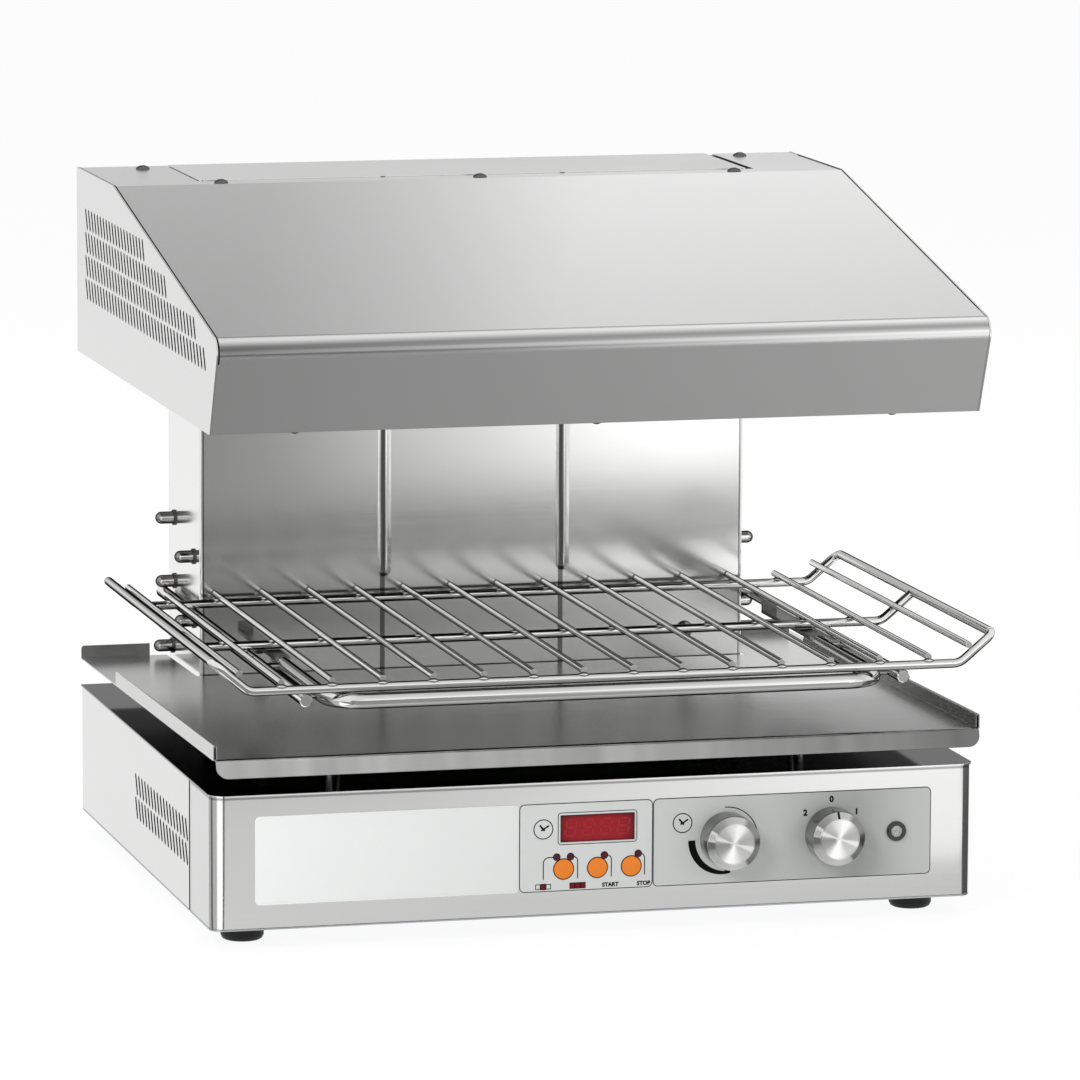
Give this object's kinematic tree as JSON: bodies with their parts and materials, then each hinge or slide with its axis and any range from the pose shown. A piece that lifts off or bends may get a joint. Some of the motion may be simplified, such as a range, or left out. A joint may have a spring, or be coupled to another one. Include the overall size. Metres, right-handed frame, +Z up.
{
  "type": "cheese melter",
  "caption": "Steel counter-top salamander grill: a fixed heating hood on a column over a wire rack on a peg-hung carrier, a crumb tray and a vented base with controls.",
  "frame": {"origin": "on the ground, under the middle of the overall box", "axes": "+X to the right seen from the front, +Y to the back, +Z up"},
  "size_m": [0.614, 0.548, 0.544],
  "materials": {
    "brushed_steel": "fine brushed grain along the width",
    "mirror_steel": "polished, nearly a mirror",
    "steel_wire": "polished drawn wire",
    "screw_steel": "bright turned",
    "galvanised": "plain galvanised",
    "rubber": "matt black",
    "black_plastic": "satin",
    "film_white": "smooth printed film",
    "film_grey": "smooth printed film",
    "window_red": "tinted, glossy",
    "led_red": "tinted, glossy",
    "button_orange": "satin",
    "knob_aluminium": "spun, with a sun-ray face",
    "brass": "turned",
    "board": "solder mask",
    "lens": "clear, faceted",
    "ceramic": "unglazed ceramic",
    "quartz": "milky quartz",
    "dark_glass": "smooth",
    "reflector": "bright rolled",
    "wool": "mineral fibre"
  },
  "bodies": {
    "base": {"base_front": "brushed_steel", "base_side_left": "brushed_steel", "base_side_right": "brushed_steel", "base_rear": "brushed_steel", "base_top": "mirror_steel", "base_bottom": "galvanised", "feet": "rubber", "foot_screws": "screw_steel", "tray_posts": "screw_steel", "cable_gland": "black_plastic", "overlay_blank": "film_white", "overlay_display": "film_white", "overlay_knobs": "film_grey", "display_window": "window_red", "display_module": "window_red", "status_leds": "led_red", "button_switches": "black_plastic", "control_board": "board", "timer_body": "black_plastic", "switch_body": "black_plastic", "lamp_lens": "lens", "lamp_bezel": "black_plastic", "terminal_block": "ceramic", "relay_block": "black_plastic", "column_wrap": "brushed_steel", "column_rear": "brushed_steel", "column_cap": "brushed_steel", "column_frame": "galvanised", "column_plugs": "screw_steel", "pegs": "screw_steel", "peg_collars": "black_plastic", "cover_screws": "screw_steel", "hood_cover": "brushed_steel", "hood_side_left": "brushed_steel", "hood_side_right": "brushed_steel", "hood_rear": "brushed_steel", "hood_pan": "mirror_steel", "heater_glass": "dark_glass", "reflector": "reflector", "heater_left": "quartz", "heater_centre": "quartz", "heater_right": "quartz", "heater_holders": "ceramic", "insulation": "wool", "hood_screws_top": "screw_steel", "hood_screws_bottom": "screw_steel"},
    "carrier": {"carrier_rods": "steel_wire", "carrier_bar": "steel_wire", "carrier_stops": "steel_wire"},
    "rack": {"rack_frame": "steel_wire", "rack_centre_rail": "steel_wire", "rack_wires": "steel_wire"},
    "tray": {"crumb_tray": "brushed_steel"},
    "timer": {"timer_knob": "knob_aluminium", "timer_shaft": "brass"},
    "selector": {"switch_knob": "knob_aluminium", "switch_shaft": "brass"},
    "zone_button": {"button_zone": "button_orange"},
    "start_button": {"button_start": "button_orange"},
    "stop_button": {"button_stop": "button_orange"}
  },
  "joints": [
    {"name": "carrier_slide", "type": "slide", "parent": "base", "child": "carrier", "axis": [0, -1, 0], "range_m": [0, 0.12]},
    {"name": "rack_slide", "type": "slide", "parent": "carrier", "child": "rack", "axis": [0, -1, 0], "range_m": [0, 0.099]},
    {"name": "tray_slide", "type": "slide", "parent": "base", "child": "tray", "axis": [0, -0.9999, 0.0157], "range_m": [0, 0.4]},
    {"name": "timer_turn", "type": "hinge", "parent": "base", "child": "timer", "pos_m": [0.102, -0.2345, 0.0695], "axis": [0, 1, 0], "range_deg": [0, 270]},
    {"name": "selector_turn", "type": "hinge", "parent": "base", "child": "selector", "pos_m": [0.1855, -0.2345, 0.0695], "axis": [0, 1, 0], "range_deg": [-52, 52]},
    {"name": "zone_button_press", "type": "slide", "parent": "base", "child": "zone_button", "axis": [0, 1, 0], "range_m": [0, 0.0006], "stiffness_N_per_m": 800},
    {"name": "start_button_press", "type": "slide", "parent": "base", "child": "start_button", "axis": [0, 1, 0], "range_m": [0, 0.0006], "stiffness_N_per_m": 800},
    {"name": "stop_button_press", "type": "slide", "parent": "base", "child": "stop_button", "axis": [0, 1, 0], "range_m": [0, 0.0006], "stiffness_N_per_m": 800}
  ]
}
